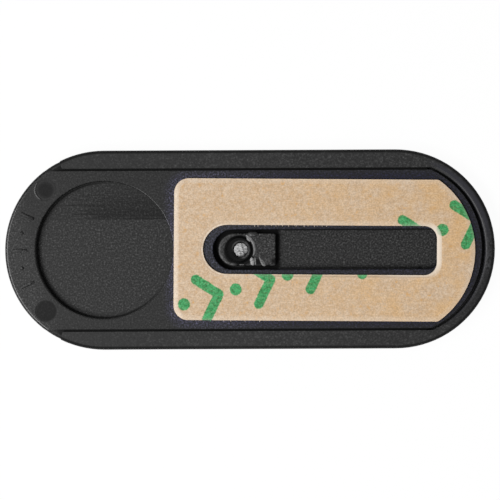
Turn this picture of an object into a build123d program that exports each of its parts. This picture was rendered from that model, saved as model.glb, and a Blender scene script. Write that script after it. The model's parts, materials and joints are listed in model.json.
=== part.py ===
"""Webcam cover slider: a cover that slides on a base stuck round the lens, adhesive side up.

The part lies on the cover's front face. X runs along the slide, from the camera opening to the closed end,
and Z points out of the adhesive side. The origin is under the middle of the part, on the front face.
"""

import os
from math import isclose

from build123d import *

# Driving dimensions, in millimetres and degrees
# Cover: plate, rails and end wall
cover_length = 42.0
cover_width = 17.06
face_wall = 0.9
side_wall = 0.98
end_wall = 0.85
lip_reach = 0.57
lip_lead_in = 0.2
rail_setback = 4.75
front_edge_radius = 0.5
rim_edge_radius = 0.25
end_wall_slope = 0.25
end_wall_drop = 0.08
edge_share = 0.6  # the most of a wall that a rounded edge takes

# Base: a thin plate whose flange runs under the cover's lips
base_thickness = 0.8
flange_thickness = 0.4
opening_side_wall = 0.87
opening_edge_radius = 0.1
nose_edge_radius = 0.25
hole_to_slot = 3.41
tail_web = 3.85
slot_corner_radius = 0.6
slot_edge_radius = 0.08

# Running clearances between the cover and the base
floor_clearance = 0.05
lip_clearance = 0.05
side_clearance = 0.1
lip_gap = 0.21
end_clearance = 0.3
nose_inset = 0.03

# Stop lug on the cover, with its sunk gate well
lug_length = 4.9
lug_width = 2.75
lug_side_clearance = 0.35
lug_rest_gap = 0.47
lug_stop_gap = 0.1
lug_drop = 0.1
lug_corner_radius = 0.15
lug_edge_radius = 0.1
well_setback = 1.75
well_radius = 1.2
well_depth = 0.5
well_floor_bevel = 0.2
stub_offset = 0.15
stub_foot_radius = 0.82
stub_top_radius = 0.62
stub_drop = 0.1

# Ejector-pin marks on the base
mark_diameter = 1.85
mark_depth = 0.04
mark_angle = 46.0
inner_mark_inset = 0.42
inner_mark_height = 4.55

# Adhesive pad and its paper liner, cut as one outline and stuck on a little askew
pad_thickness = 0.15
liner_thickness = 0.1
pad_margin = 0.71
pad_tail_margin = 0.59
pad_tail_inset = 0.05
hole_to_pad = 0.07
pad_corner_radius = 1.25
pad_shoulder_radius = 0.5
window_side_margin = 0.38
window_tip_margin = 0.86
window_corner_radius = 1.1
pad_skew = -0.62

# Heights, from the front face up
base_bottom = face_wall + floor_clearance
base_top = base_bottom + base_thickness
lip_underside = base_bottom + flange_thickness + lip_clearance
lug_top = base_top - lug_drop
well_floor = lug_top - well_depth
pad_top = base_top + pad_thickness

# Half widths, from the outside in
pocket_half = cover_width / 2 - side_wall
flange_half = pocket_half - side_clearance
mouth_half = pocket_half - lip_reach
land_half = mouth_half - lip_gap
pad_half = land_half - pad_margin
pad_tail_radius = flange_half - pad_tail_inset
camera_opening = 2 * (land_half - opening_side_wall)

# Places along the slide
cover_end = cover_length / 2
pocket_tail_x = cover_end - end_wall - pocket_half
tail_x = cover_end - end_wall - end_clearance - flange_half
nose_x = cover_width / 2 - cover_end
nose_radius = cover_width / 2 - nose_inset
rail_start = rail_setback - cover_end
opening_edge_x = nose_x + camera_opening / 2
slot_tip_x = opening_edge_x + hole_to_slot
slot_end_x = tail_x + flange_half - tail_web
slot_width = lug_width + 2 * lug_side_clearance
lug_tip_x = slot_tip_x + lug_rest_gap
lug_end_x = lug_tip_x + lug_length
well_x = lug_tip_x + well_setback
stub_x = well_x + stub_offset
pad_left = opening_edge_x + hole_to_pad
pad_tail_x = tail_x + flange_half - pad_tail_margin - pad_tail_radius
travel = slot_end_x - lug_stop_gap - lug_end_x
mark_ring_radius = (camera_opening / 2 + nose_radius) / 2

os.makedirs("parts", exist_ok=True)


def base_outline(half_width):
    """Draw the base's plan: a round nose, straight sides at half_width and a round tail."""
    with Locations((nose_x, 0)):
        Circle(nose_radius)
        Rectangle(tail_x - nose_x, 2 * half_width, align=(Align.MIN, Align.CENTER))
    with Locations((tail_x, 0)):
        Circle(flange_half)
    Rectangle(2 * cover_length, 2 * half_width, mode=Mode.INTERSECT)


def pocket_outline(half_width):
    """Draw the cover's hollow: open at the nose, round at the end wall."""
    with Locations((pocket_tail_x, 0)):
        Circle(pocket_half)
        Rectangle(cover_length, 2 * half_width, align=(Align.MAX, Align.CENTER))
    Rectangle(2 * cover_length, 2 * half_width, mode=Mode.INTERSECT)


def tongue_outline(outline, tip_x, end_x, width, corner_radius):
    """Draw a strip with a full-round tip and a squarer far end."""
    centre_x = tip_x + width / 2
    with Locations((centre_x, 0)):
        Circle(width / 2)
        Rectangle(end_x - centre_x, width, align=(Align.MIN, Align.CENTER))
    fillet(outline.vertices().group_by(Axis.X)[-1], corner_radius)


def pad_sheet(outline):
    """Draw the pad's plan: square to the camera opening, round at the tail, with a window round the slot."""
    with Locations((pad_left, 0)):
        Rectangle(pad_tail_x - pad_left, 2 * pad_half, align=(Align.MIN, Align.CENTER))
    with Locations((pad_tail_x, 0)):
        Circle(pad_tail_radius)
    Rectangle(2 * cover_length, 2 * pad_half, mode=Mode.INTERSECT)
    corners = outline.vertices().sort_by(Axis.X)
    fillet(corners[:2], pad_corner_radius)
    shoulders = outline.vertices().filter_by(lambda v: v.X > pad_tail_x)
    fillet(shoulders, pad_shoulder_radius)


def window_outline(outline):
    """Draw the window that the pad and the liner leave round the slot."""
    tongue_outline(
        outline,
        slot_tip_x - window_tip_margin,
        slot_end_x,
        slot_width + 2 * window_side_margin,
        window_corner_radius,
    )


# Sliding cover
with BuildPart() as cover:
    with BuildSketch():
        SlotOverall(cover_length, cover_width)
    extrude(amount=base_top)
    fillet(cover.edges().group_by(Axis.Z)[0], min(front_edge_radius, edge_share * face_wall))
    fillet(cover.edges().group_by(Axis.Z)[-1], min(rim_edge_radius, edge_share * side_wall))

    # The channel for the base's flange, then the mouth between the lips with its flared lead-in
    with BuildSketch(Plane.XY.offset(face_wall)):
        pocket_outline(pocket_half)
    extrude(amount=lip_underside - face_wall, mode=Mode.SUBTRACT)
    with BuildSketch(Plane.XY.offset(face_wall)):
        pocket_outline(mouth_half)
        Polygon(
            (rail_start, pocket_half),
            (rail_start, -pocket_half),
            (rail_start + lip_lead_in, -mouth_half),
            (rail_start + lip_lead_in, mouth_half),
            align=None,
        )
    extrude(amount=base_top - face_wall, mode=Mode.SUBTRACT)

    # The rails stop short of the nose, so that the base can be pushed in from that end
    with BuildSketch(Plane.XY.offset(face_wall)):
        with Locations((-cover_end, 0)):
            Rectangle(rail_setback, cover_width, align=(Align.MIN, Align.CENTER))
    extrude(amount=base_top - face_wall, mode=Mode.SUBTRACT)

    # The end wall's inner top edge, a shallow slope
    end_wall_rim = (
        cover.edges()
        .group_by(Axis.Z)[-1]
        .filter_by(GeomType.CIRCLE)
        .filter_by(lambda e: isclose(e.radius, pocket_half, abs_tol=1e-4))
    )
    rim_top = cover.faces().sort_by(Axis.Z)[-1]
    chamfer(end_wall_rim, end_wall_slope, end_wall_drop, reference=rim_top)

    # The stop lug, its gate well and the stub left in it
    with BuildSketch(Plane.XY.offset(face_wall)) as lug_plan:
        tongue_outline(lug_plan, lug_tip_x, lug_end_x, lug_width, lug_corner_radius)
    extrude(amount=lug_top - face_wall)
    lug_rim = cover.edges().filter_by_position(Axis.Z, lug_top - lug_drop / 2, lug_top + lug_drop / 2)
    fillet(lug_rim, lug_edge_radius)
    with BuildSketch(Plane.XZ.shift_origin((well_x, 0, 0))):
        with BuildLine():
            Polyline(
                (0, lug_top),
                (well_radius, lug_top),
                (well_radius, well_floor + well_floor_bevel),
                (well_radius - well_floor_bevel, well_floor),
                (0, well_floor),
                close=True,
            )
        make_face()
    revolve(axis=Axis((well_x, 0, 0), (0, 0, 1)), mode=Mode.SUBTRACT)
    with Locations((stub_x, 0, well_floor)):
        Cone(
            stub_foot_radius,
            stub_top_radius,
            well_depth - stub_drop,
            align=(Align.CENTER, Align.CENTER, Align.MIN),
        )
cover.part.label = "cover"
export_step(cover.part, "parts/cover.step")

# Base plate
with BuildPart() as base_plate:
    with BuildSketch(Plane.XY.offset(base_bottom)):
        base_outline(flange_half)
    extrude(amount=flange_thickness)
    with BuildSketch(Plane.XY.offset(base_bottom)):
        base_outline(land_half)
    extrude(amount=base_thickness)
    nose_rim = (
        base_plate.edges()
        .group_by(Axis.Z)[-1]
        .filter_by(GeomType.CIRCLE)
        .filter_by(lambda e: isclose(e.radius, nose_radius, abs_tol=1e-4))
    )
    fillet(nose_rim, min(nose_edge_radius, edge_share * base_thickness))

    # Camera opening, with its edge rounded
    with Locations((nose_x, 0, base_top)):
        Hole(camera_opening / 2)
    opening_rim = (
        base_plate.edges()
        .group_by(Axis.Z)[-1]
        .filter_by(GeomType.CIRCLE)
        .filter_by(lambda e: isclose(e.radius, camera_opening / 2, abs_tol=1e-4))
    )
    fillet(opening_rim, opening_edge_radius)

    # Slot for the cover's stop lug
    with BuildSketch(Plane.XY.offset(base_bottom)) as slot_plan:
        tongue_outline(slot_plan, slot_tip_x, slot_end_x, slot_width, slot_corner_radius)
    extrude(amount=base_thickness, mode=Mode.SUBTRACT)
    slot_rim = (
        base_plate.edges()
        .group_by(Axis.Z)[-1]
        .filter_by_position(Axis.X, slot_tip_x - slot_edge_radius, slot_end_x + slot_edge_radius)
        .filter_by_position(Axis.Y, -slot_width, slot_width)
    )
    fillet(slot_rim, slot_edge_radius)

    # Ejector-pin marks: two on the ring round the opening, two beside the pad's corners
    with BuildSketch(Plane.XY.offset(base_top).shift_origin((nose_x, 0, base_top))):
        with PolarLocations(mark_ring_radius, 2, 180 - mark_angle, 2 * mark_angle, endpoint=True):
            Circle(mark_diameter / 2)
    extrude(amount=-mark_depth, mode=Mode.SUBTRACT)
    with BuildSketch(Plane.XY.offset(base_top).shift_origin((pad_left + inner_mark_inset, 0, base_top))):
        with GridLocations(0, 2 * inner_mark_height, 1, 2):
            Circle(mark_diameter / 2)
    extrude(amount=-mark_depth, mode=Mode.SUBTRACT)
base_plate.part.label = "base_plate"
export_step(base_plate.part, "parts/base_plate.step")

# Double-sided adhesive pad
with BuildPart() as adhesive_pad:
    with BuildSketch(Plane.XY.offset(base_top).rotated((0, 0, pad_skew))) as pad_plan:
        pad_sheet(pad_plan)
    extrude(amount=pad_thickness)
    with BuildSketch(Plane.XY.offset(base_top).rotated((0, 0, pad_skew))) as pad_window:
        window_outline(pad_window)
    extrude(amount=pad_thickness, mode=Mode.SUBTRACT)
adhesive_pad.part.label = "adhesive_pad"
export_step(adhesive_pad.part, "parts/adhesive_pad.step")

# Paper release liner
with BuildPart() as release_liner:
    with BuildSketch(Plane.XY.offset(pad_top).rotated((0, 0, pad_skew))) as liner_plan:
        pad_sheet(liner_plan)
    extrude(amount=liner_thickness)
    with BuildSketch(Plane.XY.offset(pad_top).rotated((0, 0, pad_skew))) as liner_window:
        window_outline(liner_window)
    extrude(amount=liner_thickness, mode=Mode.SUBTRACT)
release_liner.part.label = "release_liner"
export_step(release_liner.part, "parts/release_liner.step")

print(f"travel {travel:.3f} mm, slot from {slot_tip_x:.3f} to {slot_end_x:.3f}")
print(f"lug from {lug_tip_x:.3f} to {lug_end_x:.3f}")
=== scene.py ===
# %% [markdown]
# # A webcam cover slider, dressed for its picture
#
# The part is a thin black slider that covers a laptop's camera. It lies on its front face, so the picture
# shows the side that is stuck to the screen: grained black plastic, a stop lug in its slot, and the strip
# of kraft paper that protects the tape. The solids are loaded at their real size, in metres, and stay
# where they are. This lesson adds what a drawing leaves out: the finishes, the paper's pressed edge and
# the small marks that moulding leaves.

# %% Load the solids
import json
from math import atan2, cos, pi, radians, sin

import bmesh
import bpy
from mathutils import Matrix, Vector, noise
from mathutils.bvhtree import BVHTree
from mathutils.kdtree import KDTree


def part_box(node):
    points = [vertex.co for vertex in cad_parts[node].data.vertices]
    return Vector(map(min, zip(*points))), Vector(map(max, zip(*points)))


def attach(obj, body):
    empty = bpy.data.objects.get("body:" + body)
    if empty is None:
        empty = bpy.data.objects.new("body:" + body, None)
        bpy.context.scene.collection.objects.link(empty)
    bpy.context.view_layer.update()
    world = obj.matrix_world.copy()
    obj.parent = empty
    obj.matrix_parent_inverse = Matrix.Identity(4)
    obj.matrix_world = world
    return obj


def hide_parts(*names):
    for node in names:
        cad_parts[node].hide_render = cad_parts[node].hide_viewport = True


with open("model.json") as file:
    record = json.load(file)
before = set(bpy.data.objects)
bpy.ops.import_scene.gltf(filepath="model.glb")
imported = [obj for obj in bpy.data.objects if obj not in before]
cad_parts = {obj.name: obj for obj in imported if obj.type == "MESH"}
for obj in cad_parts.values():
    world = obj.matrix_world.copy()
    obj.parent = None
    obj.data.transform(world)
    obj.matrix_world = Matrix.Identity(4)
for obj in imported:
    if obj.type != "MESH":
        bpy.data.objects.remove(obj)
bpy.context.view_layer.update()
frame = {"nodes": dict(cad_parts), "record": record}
MM = 0.001

for spare in ("Cube", "Camera", "Light"):
    if spare in bpy.data.objects:
        bpy.data.objects.remove(bpy.data.objects[spare])

cover_low, cover_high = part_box("cover")
base_low, base_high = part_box("base_plate")
pad_low, pad_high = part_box("adhesive_pad")
mounts = {mount["name"]: mount for mount in frame["record"]["mounts"]}
print("solids:", sorted(frame["nodes"]))

# %% [markdown]
# ## The camera
#
# The photograph looks straight down on the part, which fills the frame from side to side. The camera
# could be orthographic, but a long lens is truer: it shows a little of the walls that face the middle.
# The distance follows from the part's length in the picture, measured in pixels, and a small roll copies
# how the part lies in the frame.

# %% Camera straight above
PHOTO_PIXELS = 500
part_length_px = 490.06
part_left_of_centre_px = 0.13
part_above_centre_px = 0.47
camera_roll = radians(-0.26)
lens_mm = 135.0
sensor_mm = 36.0
rim_round = 0.25 * MM

pixel = (cover_high.x - cover_low.x) / part_length_px
widest_height = cover_high.z - rim_round
distance = PHOTO_PIXELS * pixel * lens_mm / sensor_mm

camera_data = bpy.data.cameras.new("camera")
camera_data.lens = lens_mm
camera_data.sensor_width = sensor_mm
camera_data.clip_start = 0.1 * MM
camera = bpy.data.objects.new("camera", camera_data)
camera.location = (
    part_left_of_centre_px * pixel,
    -part_above_centre_px * pixel,
    widest_height + distance,
)
camera.rotation_euler = (0, 0, camera_roll)
bpy.context.scene.collection.objects.link(camera)
bpy.context.scene.camera = camera
print(f"one pixel is {pixel / MM:.4f} mm, camera {distance / MM:.0f} mm above the rim")

# %% [markdown]
# ## The studio
#
# The part was photographed on pure white, with a long soft light from the left of the frame. A strip lamp
# makes that light, so every edge that faces left gets a shine, and an even world fills the shadows. The
# floor lies a hair below the part, so that the two never share a plane.

# %% Key lamp
view_settings = bpy.context.scene.view_settings
view_settings.view_transform = "Standard"

key_azimuth = radians(202)
key_elevation = radians(58)
key_distance = 0.26
key_length = 0.22
key_width = 0.085
key_power = 0.70


def aim_lamp(name, azimuth, elevation, far, length, width, power):
    """Hang a level strip lamp on a sphere round the part and turn it to the middle."""
    data = bpy.data.lights.new(name, "AREA")
    data.shape = "RECTANGLE"
    data.size = length
    data.size_y = width
    data.energy = power
    lamp = bpy.data.objects.new(name, data)
    lamp.location = far * Vector((
        cos(elevation) * cos(azimuth),
        cos(elevation) * sin(azimuth),
        sin(elevation),
    ))
    lamp.rotation_euler = (-lamp.location).to_track_quat("-Z", "Y").to_euler()
    bpy.context.scene.collection.objects.link(lamp)
    return lamp


aim_lamp("key_lamp", key_azimuth, key_elevation, key_distance, key_length, key_width, key_power)
print("key lamp hangs", key_distance, "m away")

# %% Floor and world
floor_half_size = 2.0
floor_gap = 0.02 * MM

world = bpy.data.worlds.new("even_fill")
world.use_nodes = True
background = world.node_tree.nodes["Background"]
background.inputs["Color"].default_value = (1, 1, 1, 1)
bpy.context.scene.world = world

floor_mesh = bpy.data.meshes.new("floor")
bm = bmesh.new()
floor_place = Matrix.Translation((0, 0, -floor_gap))
bmesh.ops.create_grid(bm, x_segments=1, y_segments=1, size=floor_half_size, matrix=floor_place)
bm.to_mesh(floor_mesh)
bm.free()
floor = bpy.data.objects.new("floor", floor_mesh)
bpy.context.scene.collection.objects.link(floor)
print("floor", floor_gap / MM, "mm below the part, world in place")

# %% [markdown]
# ## Short words for nodes
#
# A material here is a graph of nodes. These helpers add one node and fill its sockets from numbers or
# from other nodes, so that each finish below reads as a short recipe. Colours are written as a picture
# editor shows them, 0 to 255, and turned into the linear values that the shader wants.

# %% Helpers for shader graphs


def linear(red, green, blue):
    """Turn a picture editor's colour into the shader's linear one."""
    parts = []
    for value in (red, green, blue):
        share = value / 255
        parts.append(share / 12.92 if share <= 0.04045 else ((share + 0.055) / 1.055) ** 2.4)
    return (*parts, 1.0)


def grey(value):
    """A neutral colour from one value."""
    return linear(value, value, value)


def add(tree, kind, sockets=None, **settings):
    """Add a shader node; a socket's value is a number, a colour or another node's output."""
    made = tree.nodes.new("ShaderNode" + kind)
    for name, value in settings.items():
        setattr(made, name, value)
    for name, value in (sockets or {}).items():
        if isinstance(value, bpy.types.NodeSocket):
            tree.links.new(value, made.inputs[name])
        else:
            made.inputs[name].default_value = value
    return made


def calc(tree, operation, *values, clamp=False):
    """One step of arithmetic."""
    return add(tree, "Math", dict(enumerate(values)), operation=operation, use_clamp=clamp).outputs[0]


def move(tree, operation, *values, out="Vector"):
    """One step of vector arithmetic."""
    return add(tree, "VectorMath", dict(enumerate(values)), operation=operation).outputs[out]


def coordinates(tree):
    """Object coordinates, whole and split into X, Y and Z."""
    where = add(tree, "TexCoord").outputs["Object"]
    return where, add(tree, "SeparateXYZ", {0: where}).outputs


print("node helpers ready, a mid grey is", round(grey(128)[0], 3), "in linear light")

# %% [markdown]
# ## Masks
#
# Most finishes below are built from masks, values between 0 and 1 that say how much of an effect a point
# gets. A mask fades in across a line or with a distance. Masks that all have to hold are multiplied, and
# where masks lie side by side the largest counts.

# %% Helpers for masks


def fade(tree, value, start, end, low=0.0, high=1.0):
    """A smooth step from low at start to high at end."""
    sockets = {"Value": value, "From Min": start, "From Max": end, "To Min": low, "To Max": high}
    return add(tree, "MapRange", sockets, interpolation_type="SMOOTHSTEP").outputs["Result"]


def blend(tree, mask, without, within):
    """A value that eases from one level outside a mask to another within it."""
    return fade(tree, mask, 0.0, 1.0, without, within)


def product(tree, first, *others):
    """Masks that all have to hold."""
    for other in others:
        first = calc(tree, "MULTIPLY", first, other)
    return first


def largest(tree, first, *others):
    """The largest of some masks or values."""
    for other in others:
        first = calc(tree, "MAXIMUM", first, other)
    return first


def distance_from(tree, value, middle):
    """How far a value lies from a middle, to either side."""
    return calc(tree, "ABSOLUTE", calc(tree, "SUBTRACT", value, middle))


def flat_length(tree, across, up):
    """The length of a flat arrow, from its two parts."""
    arrow = add(tree, "CombineXYZ", {0: across, 1: up}).outputs[0]
    return move(tree, "LENGTH", arrow, out="Value")


print("mask helpers ready")

# %% [markdown]
# ## Colours, noise and node groups
#
# Mixed colours and soft noise give the finishes their life. An effect that more than one material needs
# is a node group: it is built once, with named inputs and outputs, and placed in each material with its
# own values.

# %% Helpers for colours and groups


def tint(tree, factor, first, second, blend_type="MIX"):
    """Mix two colours."""
    mixed = add(tree, "Mix", {0: factor, 6: first, 7: second}, data_type="RGBA", blend_type=blend_type)
    return mixed.outputs[2]


def cloud(tree, where, scale, detail=2.0, roughness=0.5):
    """Soft random noise between 0 and 1."""
    sockets = {"Vector": where, "Scale": scale, "Detail": detail, "Roughness": roughness}
    return add(tree, "TexNoise", sockets).outputs["Fac"]


def start_group(name, inputs, outputs):
    """Begin a node group with named sockets and give back its graph, its inputs and its output node."""
    group = bpy.data.node_groups.new(name, "ShaderNodeTree")
    for label, kind, value in inputs:
        socket = group.interface.new_socket(label, in_out="INPUT", socket_type=kind)
        socket.default_value = value
    for label, kind in outputs:
        group.interface.new_socket(label, in_out="OUTPUT", socket_type=kind)
    given = group.nodes.new("NodeGroupInput")
    result = group.nodes.new("NodeGroupOutput")
    return group, given.outputs, result


def use_group(tree, group, sockets):
    """Place a node group in a material with its own values."""
    made = add(tree, "Group", node_tree=group)
    for name, value in sockets.items():
        made.inputs[name].default_value = value
    return made.outputs


def new_finish(name):
    """A new material with its Principled shader."""
    material = bpy.data.materials.new(name)
    material.use_nodes = True
    return material, material.node_tree, material.node_tree.nodes["Principled BSDF"]


print("colour and group helpers ready")

# %% [markdown]
# ## White paper under the part
#
# The floor is plain white paper. A purely diffuse floor would show grey round the part, so most of it is
# a glow of strength 1 for the rays that the camera, gloss and glass see. The rest stays diffuse, which
# keeps the shadow. From beneath the floor is clear, so that the part's front face can be looked at. The
# world is white for the camera alone, and a dim, even light for everything else.

# %% Floor finish
floor_glow_share = 0.96
fill_strength = 0.26

floor_paper = bpy.data.materials.new("floor_paper")
floor_paper.use_nodes = True
tree = floor_paper.node_tree
tree.nodes.clear()
paths = add(tree, "LightPath").outputs
seen = calc(tree, "ADD", paths["Is Camera Ray"], paths["Is Glossy Ray"])
seen = calc(tree, "ADD", seen, paths["Is Transmission Ray"], clamp=True)
glow_share = calc(tree, "MULTIPLY", seen, floor_glow_share)
paper_white = add(tree, "BsdfDiffuse", {"Color": (1, 1, 1, 1)}).outputs[0]
glow = add(tree, "Emission", {"Color": (1, 1, 1, 1), "Strength": 1.0}).outputs[0]
seen_floor = add(tree, "MixShader", {0: glow_share, 1: paper_white, 2: glow}).outputs[0]
beneath = add(tree, "NewGeometry").outputs["Backfacing"]
clear = add(tree, "BsdfTransparent").outputs[0]
two_sided = add(tree, "MixShader", {0: beneath, 1: seen_floor, 2: clear}).outputs[0]
add(tree, "OutputMaterial", {"Surface": two_sided})
floor_mesh.materials.append(floor_paper)

tree = world.node_tree
seen_direct = add(tree, "LightPath").outputs["Is Camera Ray"]
tree.links.new(blend(tree, seen_direct, fill_strength, 1.0), background.inputs["Strength"])
print("floor glows with a share of", floor_glow_share)

# %% [markdown]
# ## Grain and spots, two effects that the plastics share
#
# Both mouldings come from spark-eroded steel, which leaves a fine, even grain of tiny craters on every
# face. One group makes that grain: a shade that varies from point to point, the same shade sharpened to
# bright flecks, and a height for the bump. A second group makes a round spot with a soft edge, the rim of
# such a spot and its left side, for places where a pin, a gate, a cutter or grime has touched the
# plastic. Each plastic sets its own values, so the two mouldings differ a little, as they do on the real
# part.

# %% Spark-eroded grain
crater_share = 0.5
mean_relief = 0.75
sparkle = 2.0

grain, given, result = start_group(
    "spark_grain",
    [
        ("Grain Scale", "NodeSocketFloat", 5000.0),
        ("Contrast", "NodeSocketFloat", 0.5),
    ],
    [("Shade", "NodeSocketFloat"), ("Fleck", "NodeSocketFloat"), ("Height", "NodeSocketFloat")],
)
place = add(grain, "TexCoord").outputs["Object"]
crater_sockets = {"Vector": place, "Scale": given["Grain Scale"]}
craters = add(grain, "TexVoronoi", crater_sockets, feature="SMOOTH_F1").outputs["Distance"]
speckle = cloud(grain, place, given["Grain Scale"], 3.0, 0.7)
relief = calc(grain, "ADD", speckle, product(grain, craters, crater_share))
centred = calc(grain, "SUBTRACT", speckle, 0.5)
shade = calc(grain, "ADD", product(grain, centred, given["Contrast"]), 1.0)
fleck = calc(grain, "POWER", largest(grain, shade, 0.0), sparkle)
grain.links.new(shade, result.inputs["Shade"])
grain.links.new(fleck, result.inputs["Fleck"])
grain.links.new(calc(grain, "SUBTRACT", relief, mean_relief), result.inputs["Height"])
print("grain group:", [socket.name for socket in grain.interface.items_tree])

# %% Round spot, its rim and its left side
side_lean = 0.45
side_start, side_end = -0.17, 1.05

spot, given, result = start_group(
    "round_spot",
    [
        ("Centre", "NodeSocketVector", (0, 0, 0)),
        ("Radius", "NodeSocketFloat", MM),
        ("Softness", "NodeSocketFloat", 0.05 * MM),
    ],
    [("Mask", "NodeSocketFloat"), ("Rim", "NodeSocketFloat"), ("Left Side", "NodeSocketFloat")],
)
place = add(spot, "TexCoord").outputs["Object"]
offset = move(spot, "SUBTRACT", place, given["Centre"])
flat = move(spot, "MULTIPLY", offset, (1, 1, 0))
reach = move(spot, "LENGTH", flat, out="Value")
inner = calc(spot, "SUBTRACT", given["Radius"], given["Softness"])
outer = calc(spot, "ADD", given["Radius"], given["Softness"])
off_rim = distance_from(spot, reach, given["Radius"])
rightwards = move(spot, "DOT_PRODUCT", offset, (1, side_lean, 0), out="Value")
right_share = calc(spot, "DIVIDE", rightwards, given["Radius"])
spot.links.new(fade(spot, reach, inner, outer, 1.0, 0.0), result.inputs["Mask"])
spot.links.new(fade(spot, off_rim, 0.0, given["Softness"], 1.0, 0.0), result.inputs["Rim"])
spot.links.new(fade(spot, right_share, side_start, side_end, 1.0, 0.0), result.inputs["Left Side"])


def place_spot(tree, centre, radius, softness):
    """Place a round spot in a material."""
    return use_group(tree, spot, {"Centre": centre, "Radius": radius, "Softness": softness})


print("spot group:", [socket.name for socket in spot.interface.items_tree])

# %% [markdown]
# ## Black plastic of the base: bluish haze round the tape
#
# The base is the plate that gets stuck to the screen. A faint bluish, darker haze lies round the paper
# and on the ledge in the paper's window. It is lighter towards the nose and darker towards the tail,
# which is painted light falloff away from the lamp. A painted map would have to be drawn by hand, so the
# haze follows the distance from the pad's outline instead: from its rounded square end, or from its
# round tail, whichever is larger.

# %% Places on the base
opening = Vector(mounts["camera_opening"]["pos_m"])
opening_radius = mounts["camera_opening"]["dims"]["r_mm"] * MM
nose_centre = Vector((opening.x, 0, base_high.z))
nose_radius = nose_centre.x - base_low.x
tail_x = base_high.x - base_high.y
pad_tail_radius = pad_high.x - tail_x
pad_corner = 1.25 * MM
mark_ring_radius = (opening_radius + nose_radius) / 2
mark_angle = radians(46)
inner_mark = Vector((-6.08, 4.55, 0)) * MM
ring_marks = []
inner_marks = []
for side in (1, -1):
    outwards = Vector((-cos(mark_angle), side * sin(mark_angle), 0))
    ring_marks.append(nose_centre + mark_ring_radius * outwards)
    inner_marks.append(Vector((inner_mark.x, side * inner_mark.y, 0)))
print("marks at radius", round(mark_ring_radius / MM, 2), "mm round the opening")

# %% Haze round the tape
haze_reach = 1.0 * MM
falloff_start, falloff_end = pad_low.x + 2 * MM, pad_low.x + 12 * MM
ledge_inset = 1.5 * MM

base_plastic, tree, shader = new_finish("base_plastic")
skin = use_group(tree, grain, {"Grain Scale": 6900.0, "Contrast": 7.5})
where, place = coordinates(tree)
off_middle = calc(tree, "ABSOLUTE", place["Y"])
past_left = largest(tree, calc(tree, "SUBTRACT", pad_low.x + pad_corner, place["X"]), 0.0)
past_side = largest(tree, calc(tree, "SUBTRACT", off_middle, pad_high.y - pad_corner), 0.0)
from_square = calc(tree, "SUBTRACT", flat_length(tree, past_left, past_side), pad_corner)
past_tail = largest(tree, calc(tree, "SUBTRACT", place["X"], tail_x), 0.0)
from_tail = calc(tree, "SUBTRACT", flat_length(tree, past_tail, place["Y"]), pad_tail_radius)
from_pad = largest(tree, from_square, from_tail)
haze = fade(tree, from_pad, 0.0, haze_reach, 1.0, 0.0)
# Painted light falloff: the haze is painted lighter towards the nose and darker towards the tail.
lamp_falloff = fade(tree, place["X"], falloff_start, falloff_end)
outer_tone = tint(tree, lamp_falloff, linear(39, 38, 51), linear(12, 12, 28))
ledge_tone = tint(tree, lamp_falloff, linear(32, 33, 41), linear(23, 23, 32))
on_ledge = fade(tree, from_pad, -ledge_inset, 0.0, 1.0, 0.0)
blue_tone = tint(tree, on_ledge, outer_tone, ledge_tone)
print("haze reaches", haze_reach / MM, "mm from the tape")

# %% [markdown]
# ## Black plastic of the base: marks and edges
#
# Ejector pins have left round marks that are duller than the grain, and only a fine ring at the tape's
# two square corners. A row of the table gives a mark's centre, how dull its middle is, how strong its
# ring is, its radius and its softness. Edges that rub are burnished: the nose's rim and the far side of
# the camera opening. The opening's lower left edge is painted grey, as painted light on a wall that the
# lamp leaves in shade.

# %% Pin marks and edges of the base
mark_radius = 0.925 * MM
upper_mark, lower_mark = ring_marks
mark_looks = (
    (upper_mark, 0.8, 0.0, 0.72 * MM, 0.34 * MM),
    (upper_mark, 0.0, 0.4, 0.76 * MM, 0.07 * MM),
    (upper_mark, 0.0, 0.3, 1.08 * MM, 0.08 * MM),
    (lower_mark, 0.82, 0.35, mark_radius, 0.11 * MM),
    (inner_marks[0], 0.0, 0.7, mark_radius, 0.06 * MM),
    (inner_marks[1], 0.0, 0.7, mark_radius, 0.06 * MM),
)
far_start, far_end = opening.x + 1.5 * MM, opening.x + 4.0 * MM
opening_rim_half = 0.07 * MM
edge_light_inset, edge_light_half = 0.02 * MM, 0.1 * MM
edge_light_low, edge_light_high = -MM, 3 * MM
nose_rim_inset, nose_rim_half = 0.14 * MM, 0.26 * MM

pins = 0.0
pin_rims = 0.0
for centre, dull_share, rim_share, radius, softness in mark_looks:
    mark = place_spot(tree, centre, radius, softness)
    pins = largest(tree, pins, product(tree, mark["Mask"], dull_share))
    pin_rims = largest(tree, pin_rims, product(tree, mark["Rim"], rim_share))
opening_rim = place_spot(tree, opening, opening_radius + opening_rim_half, opening_rim_half)["Rim"]
opening_rim = product(tree, opening_rim, fade(tree, place["X"], far_start, far_end))
# Painted light: the lower left edge of the opening, a wall in the lamp's shade, is painted grey.
edge_light_spot = place_spot(tree, opening, opening_radius - edge_light_inset, edge_light_half)
low_share = fade(tree, place["Y"], edge_light_low, edge_light_high, 1.0, 0.0)
painted_edge_light = product(tree, edge_light_spot["Rim"], edge_light_spot["Left Side"], low_share)
nose_rim = place_spot(tree, nose_centre, nose_radius - nose_rim_inset, nose_rim_half)["Rim"]
nose_rim = product(tree, nose_rim, calc(tree, "LESS_THAN", place["X"], nose_centre.x))
rims = largest(tree, opening_rim, nose_rim)
print("pin marks on the base:", len(ring_marks + inner_marks))

# %% [markdown]
# ## Black plastic of the base: colour and gloss
#
# The grained skin is a neutral black, painted greyer at the nose's end on the side towards the lamp, as
# painted light. The sunk step under the cover's lips is dull and painted dark, as painted shade. The
# layers are mixed in this order: skin, haze, grain, marks, painted edge light.

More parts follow.
